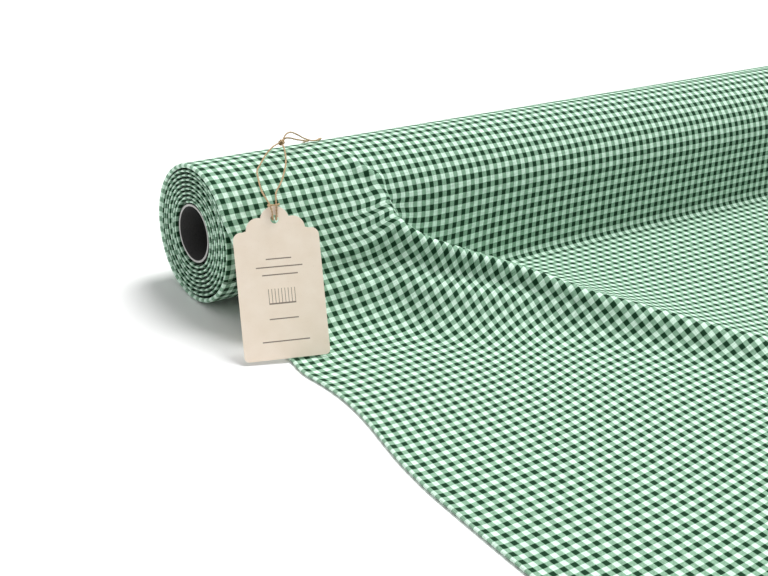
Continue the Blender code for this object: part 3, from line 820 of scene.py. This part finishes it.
def tube_loop():
    """The wall's closed section as (x, radius) points: near end, bore, far end and outside."""
    low, high = CORE_LOW.x, CORE_HIGH.x
    bore = TUBE_RADIUS - TUBE_WALL
    rim, cut = TUBE_RIM, TUBE_RIM * 0.3  # cut: from the corner to the middle of its round, along x
    near = [(low + rim, TUBE_RADIUS), (low + cut, TUBE_RADIUS - cut), (low, TUBE_RADIUS - rim),
            (low, bore + rim), (low + cut, bore + cut), (low + rim, bore)]
    far = [(high + low - x, r) for x, r in reversed(near)]
    steps = range(1, TUBE_RINGS)
    inner = [(low + (high - low) * k / TUBE_RINGS, bore) for k in steps]
    outer = [(high - (high - low) * k / TUBE_RINGS, TUBE_RADIUS) for k in steps]
    return np.array(near + inner + far + outer)


def make_core(finish):
    """The tube: rounded rims on a wall of wound board."""
    loop = tube_loop()
    count, sides = len(loop), TUBE_SIDES
    turn = np.arange(sides) * 2 * math.pi / sides
    points = np.stack([
        np.broadcast_to(loop[:, 0], (sides, count)),
        AXIS_Y - loop[:, 1] * np.sin(turn)[:, None],
        AXIS_Z + loop[:, 1] * np.cos(turn)[:, None],
    ], -1)
    run = run_along(loop)
    run = np.append(run, run[-1] + np.linalg.norm(loop[0] - loop[-1]))
    step = 2 * math.pi * TUBE_RADIUS / sides
    faces, uvs = [], []
    for i in range(sides):
        for j in range(count):
            k, n = (i + 1) % sides, (j + 1) % count
            faces.append((i * count + j, k * count + j, k * count + n, i * count + n))
            uvs += quad_corners(i * step, (i + 1) * step, run[j], run[j + 1])
    tube = mesh_piece("paper_tube", points.reshape(-1, 3), faces, uvs, finish, 50)
    tube.data.materials.append(cut_paper())
    for face in tube.data.polygons:
        face.material_index = int(abs(face.normal.x) > 0.5)
    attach(tube, "roll")
    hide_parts("core_tube")


# ---- The tag ---------------------------------------------------------

def arc(centre, radius, start_deg, end_deg, step_deg=6):
    """Points on a circle, about step_deg apart."""
    count = max(2, round(abs(end_deg - start_deg) / step_deg))
    angles = np.radians(np.linspace(start_deg, end_deg, count + 1))
    return [(centre[0] + radius * math.cos(a), centre[1] + radius * math.sin(a)) for a in angles]


def tag_frame():
    """The tag's axes as a matrix: across, up and out, with its origin at the middle of its foot."""
    across, up = Vector((1, 0, 0)), Vector((0, math.sin(TAG_LEAN), math.cos(TAG_LEAN)))
    turn = Matrix.Rotation(TAG_YAW, 3, "Z")
    across, up = turn @ across, turn @ up
    tilt = Matrix.Rotation(TAG_TILT, 3, across.cross(up))
    across, up = tilt @ across, tilt @ up
    axes = Matrix((across, up, across.cross(up))).transposed().to_4x4()
    return Matrix.Translation(TAG_FOOT) @ axes


def hole_frame():
    """The tag's axes, with their origin at the middle of its hole."""
    return tag_frame() @ Matrix.Translation((0.0, TAG_SIDE_HEIGHT + HOLE_UP, 0.0))


def tag_outline():
    """The card's edge as (across, up) points: corners, shoulders, scallops and the arch round the hole."""
    side, top, corner = TAG_WIDTH / 2, TAG_SIDE_HEIGHT, TAG_CORNER_RADIUS
    half = [
        *arc((side - corner, corner), corner, -90, 0),
        *arc((side - SHOULDER_RADIUS, top), SHOULDER_RADIUS, 0, 100),
        *arc((SCALLOP_ACROSS, top + SCALLOP_UP), SCALLOP_RADIUS, 0, 108),
        *arc((0.0, top + ARCH_UP), ARCH_RADIUS, 18, 90),
    ]
    return half + [(-x, y) for x, y in reversed(half[:-1])]


def make_tag(finish):
    """The card: filled between its outline and its hole, then given its thickness and worn edges."""
    work = bpy.data.curves.new("tag_shape", "CURVE")
    work.dimensions = "2D"
    work.fill_mode = "BOTH"
    work.extrude = TAG_THICKNESS / 2 - TAG_BEVEL
    work.bevel_depth = TAG_BEVEL
    work.bevel_resolution = 2
    hole = arc((0.0, TAG_SIDE_HEIGHT + HOLE_UP), TAG_HOLE_RADIUS, 0, 360, 10)[:-1]
    for outline in (tag_outline(), hole):
        spline = work.splines.new("POLY")
        spline.points.add(len(outline) - 1)
        for point, (x, y) in zip(spline.points, outline):
            point.co = (x, y, 0.0, 1.0)
        spline.use_cyclic_u = True
    shape = added("tag_shape", work)
    graph = bpy.context.evaluated_depsgraph_get()
    mesh = bpy.data.meshes.new_from_object(shape.evaluated_get(graph))
    bpy.data.objects.remove(shape)
    card = added("tag_card", mesh)
    mesh.materials.clear()
    mesh.materials.append(finish)
    while mesh.uv_layers:
        mesh.uv_layers.remove(mesh.uv_layers[0])
    layer = mesh.uv_layers.new(name="UVMap")
    for loop in mesh.loops:
        place = mesh.vertices[loop.vertex_index].co
        layer.data[loop.index].uv = (place.x, place.y)
    mesh.shade_smooth()
    mesh.set_sharp_from_angle(angle=math.radians(40))
    mesh.transform(tag_frame())
    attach(card, "tag")
    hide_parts("tag")


# ---- The twine -------------------------------------------------------

def smooth_route(points, step):
    """Points about a step apart on a smooth curve through the given ones."""
    points = [Vector(p) for p in points]
    ends = [points[0] * 2 - points[1], *points, points[-1] * 2 - points[-2]]
    route = []
    for before, a, b, after in zip(ends, ends[1:], ends[2:], ends[3:]):
        count = max(1, round((b - a).length / step))
        for i in range(count):
            t = i / count
            route.append(
                0.5 * (2 * a + (b - before) * t + (2 * before - 5 * a + 4 * b - after) * t**2
                       + (3 * a - before - 3 * b + after) * t**3)
            )
    return [*route, points[-1]]


def from_near_end(point):
    """A place of the twine's route, in the part's frame."""
    x, y, z = point
    return Vector((NEAR_X + x, AXIS_Y + y, z))


def twine_route():
    """The whole length: one tail, the knot, down to the tag, round its hole, back to the knot, and out."""
    hole = hole_frame()
    hitch = [hole @ Vector(point) for point in HITCH]
    knot = from_near_end(KNOT_AT)
    aside = Vector((0.0003, 0.0002, 0.0004))
    return [
        *(from_near_end(point) for point in reversed(TAIL_UPPER)),
        knot + aside,
        *(from_near_end(point) for point in reversed(STRAND_LEFT[1:])),
        *hitch,
        *(from_near_end(point) for point in STRAND_RIGHT[1:]),
        knot - aside,
        *(from_near_end(point) for point in TAIL_LOWER),
    ]


def frames_along(route):
    """Two directions square to the route at each point, turning with it and not about it."""
    points = np.array([tuple(p) for p in route])
    ahead = unit(np.gradient(points, axis=0))
    side = unit(np.cross(ahead[0], (0.3, 0.5, 0.8)))
    sides = []
    for direction in ahead:
        side = unit(side - direction * np.dot(side, direction))
        sides.append(side)
    sides = np.array(sides)
    return points, sides, np.cross(ahead, sides)


PLIES = 2
PLY_RADIUS = 0.00031
PLY_OFFSET = 0.00026
TWIST_LENGTH = 0.0032
PLY_SWELL, SWELL_RATES = 0.10, (900, 310)  # how uneven a ply is, and how fast it changes
END_TAPER = 0.35
TWINE_STEP = 0.00045
WRAPS, WRAP_STEPS = 2.5, 60
KNOT_LENGTH, KNOT_RADIUS, KNOT_NARROWING = 0.0028, 0.00125, 0.0003


def twisted(name, route, finish, sides=8):
    """Twine along a route: plies twisted round each other, in one mesh."""
    points, first, second = frames_along(route)
    run = run_along(points)
    wide = 2 * math.pi * PLY_RADIUS / sides
    faces, uvs, rings = [], [], []
    for ply in range(PLIES):
        turn = run / TWIST_LENGTH * 2 * math.pi + ply * 2 * math.pi / PLIES
        centre = points + PLY_OFFSET * (first * np.cos(turn)[:, None] + second * np.sin(turn)[:, None])
        start = len(rings) * sides
        swell = 1 + PLY_SWELL * np.sin(run * SWELL_RATES[0] + ply) * np.sin(run * SWELL_RATES[1])
        for i in range(len(points)):
            spin = np.arange(sides) * 2 * math.pi / sides + turn[i]
            size = PLY_RADIUS * swell[i] * (END_TAPER if i in (0, len(points) - 1) else 1.0)
            rings.append(centre[i] + size * (first[i] * np.cos(spin)[:, None]
                                             + second[i] * np.sin(spin)[:, None]))
        for i in range(len(points) - 1):
            for k in range(sides):
                a, b = start + i * sides, start + (i + 1) * sides
                n = (k + 1) % sides
                faces.append((a + k, a + n, b + n, b + k))
                uvs += quad_corners(k * wide, (k + 1) * wide, run[i], run[i + 1])
        last = start + (len(points) - 1) * sides
        faces += [tuple(start + k for k in reversed(range(sides))), tuple(last + k for k in range(sides))]
        uvs += [(0.0, 0.0)] * (2 * sides)
    return mesh_piece(name, np.concatenate(rings), faces, uvs, finish, 60), run[-1]


def knot_route():
    """Two and a half tight turns round both strands where they meet."""
    centre = from_near_end(KNOT_AT)
    along = Vector((0.75, 0.42, 0.18)).normalized()
    side = along.cross(Vector((0, 0, 1))).normalized()
    other = along.cross(side)
    route = []
    for i in range(WRAP_STEPS + 1):
        t = i / WRAP_STEPS
        turn = WRAPS * 2 * math.pi * t
        radius = KNOT_RADIUS - KNOT_NARROWING * abs(2 * t - 1) ** 2
        route.append(centre + along * (t - 0.5) * KNOT_LENGTH
                     + (side * math.cos(turn) + other * math.sin(turn)) * radius)
    return route


def make_twine(finish):
    route = smooth_route(twine_route(), TWINE_STEP)
    knot, _ = twisted("twine_knot_wraps", knot_route(), finish, sides=7)
    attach(knot, "cloth")
    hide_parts("twine_knot")
    twine, length = twisted("twine", route, finish)
    hole = hole_frame()
    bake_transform(twine)
    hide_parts("twine_left", "twine_right", "twine_hitch", "twine_tail_upper",
                "twine_tail_lower")
    tuple(route[0])
    [tuple(p) for p in route]


# ---- Camera, light and floor -----------------------------------------

CAMERA_AT = Vector((-0.7500, -0.4724, 0.3718))
CAMERA_YAW, CAMERA_PITCH, CAMERA_ROLL = math.radians(38.48), math.radians(25.815), math.radians(5.368)
LENS_MM, SENSOR_MM = 66.75, 36.0

FLOOR_REACH, FLOOR_DROP, FLOOR_WHITE = 30.0, 0.0004, 0.93
SURROUND = 0.44
# Name, direction that the light comes from, how wide it is in degrees, and strength.
SUNS = [("key", (0.66, 0.20, 1.45), 32.0, 3.35), ("side", (-0.95, 0.45, 0.70), 60.0, 0.35)]


def make_camera():
    """The photograph's view: three angles, a place and a lens."""
    sin, cos = math.sin, math.cos
    forward = Vector((sin(CAMERA_YAW) * cos(CAMERA_PITCH), cos(CAMERA_YAW) * cos(CAMERA_PITCH),
                      -sin(CAMERA_PITCH)))
    level = Vector((cos(CAMERA_YAW), -sin(CAMERA_YAW), 0.0))
    upright = level.cross(forward)
    right = level * cos(CAMERA_ROLL) + upright * sin(CAMERA_ROLL)
    up = upright * cos(CAMERA_ROLL) - level * sin(CAMERA_ROLL)
    data = bpy.data.cameras.new("camera")
    data.lens, data.sensor_width = LENS_MM, SENSOR_MM
    data.clip_start = 0.01
    camera = added("camera", data)
    axes = Matrix((right, up, -forward)).transposed().to_4x4()
    camera.matrix_world = Matrix.Translation(CAMERA_AT) @ axes
    bpy.context.scene.camera = camera


def soft_sun(name, towards, spread_deg, strength):
    """Even light from the direction (x, y, z), as wide as a large lamp overhead."""
    data = bpy.data.lights.new(name, "SUN")
    data.angle, data.energy = math.radians(spread_deg), strength
    light = added(name, data)
    light.location = towards
    light.rotation_euler = Vector(towards).to_track_quat("Z", "Y").to_euler()


def make_stage():
    """A pale floor just under the cloth, white surroundings and the suns."""
    mesh = bpy.data.meshes.new("floor")
    reach = FLOOR_REACH
    mesh.from_pydata([(-reach, -reach, 0), (reach, -reach, 0), (reach, reach, 0), (-reach, reach, 0)],
                     [], [(0, 1, 2, 3)])
    mesh.materials.append(plain_white("floor_white", FLOOR_WHITE))
    floor = added("floor", mesh)
    floor.location.z = -FLOOR_DROP
    world = bpy.data.worlds.new("studio")
    world.use_nodes = True
    background = world.node_tree.nodes["Background"]
    background.inputs["Color"].default_value = (1.0, 1.0, 1.0, 1.0)
    background.inputs["Strength"].default_value = SURROUND
    bpy.context.scene.world = world
    for sun in SUNS:
        soft_sun(*sun)
    bpy.context.scene.view_settings.view_transform = "Standard"


# ---- Everything together ---------------------------------------------

def finish_node(node, finish):
    """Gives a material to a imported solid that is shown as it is."""
    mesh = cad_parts[node].data
    mesh.materials.clear()
    mesh.materials.append(finish)


def main():
    cloth = gingham()
    make_camera()
    make_stage()
    make_twine(jute())
    make_tag(tag_card())
    make_outer_cloth(cloth)
    make_wound_cloth(cloth)
    make_core(tube_paper_and_bore_shade())
    tape = paper_tape()
    for node in ("tape_near", "tape_middle", "tape_far"):
        finish_node(node, tape)


main()
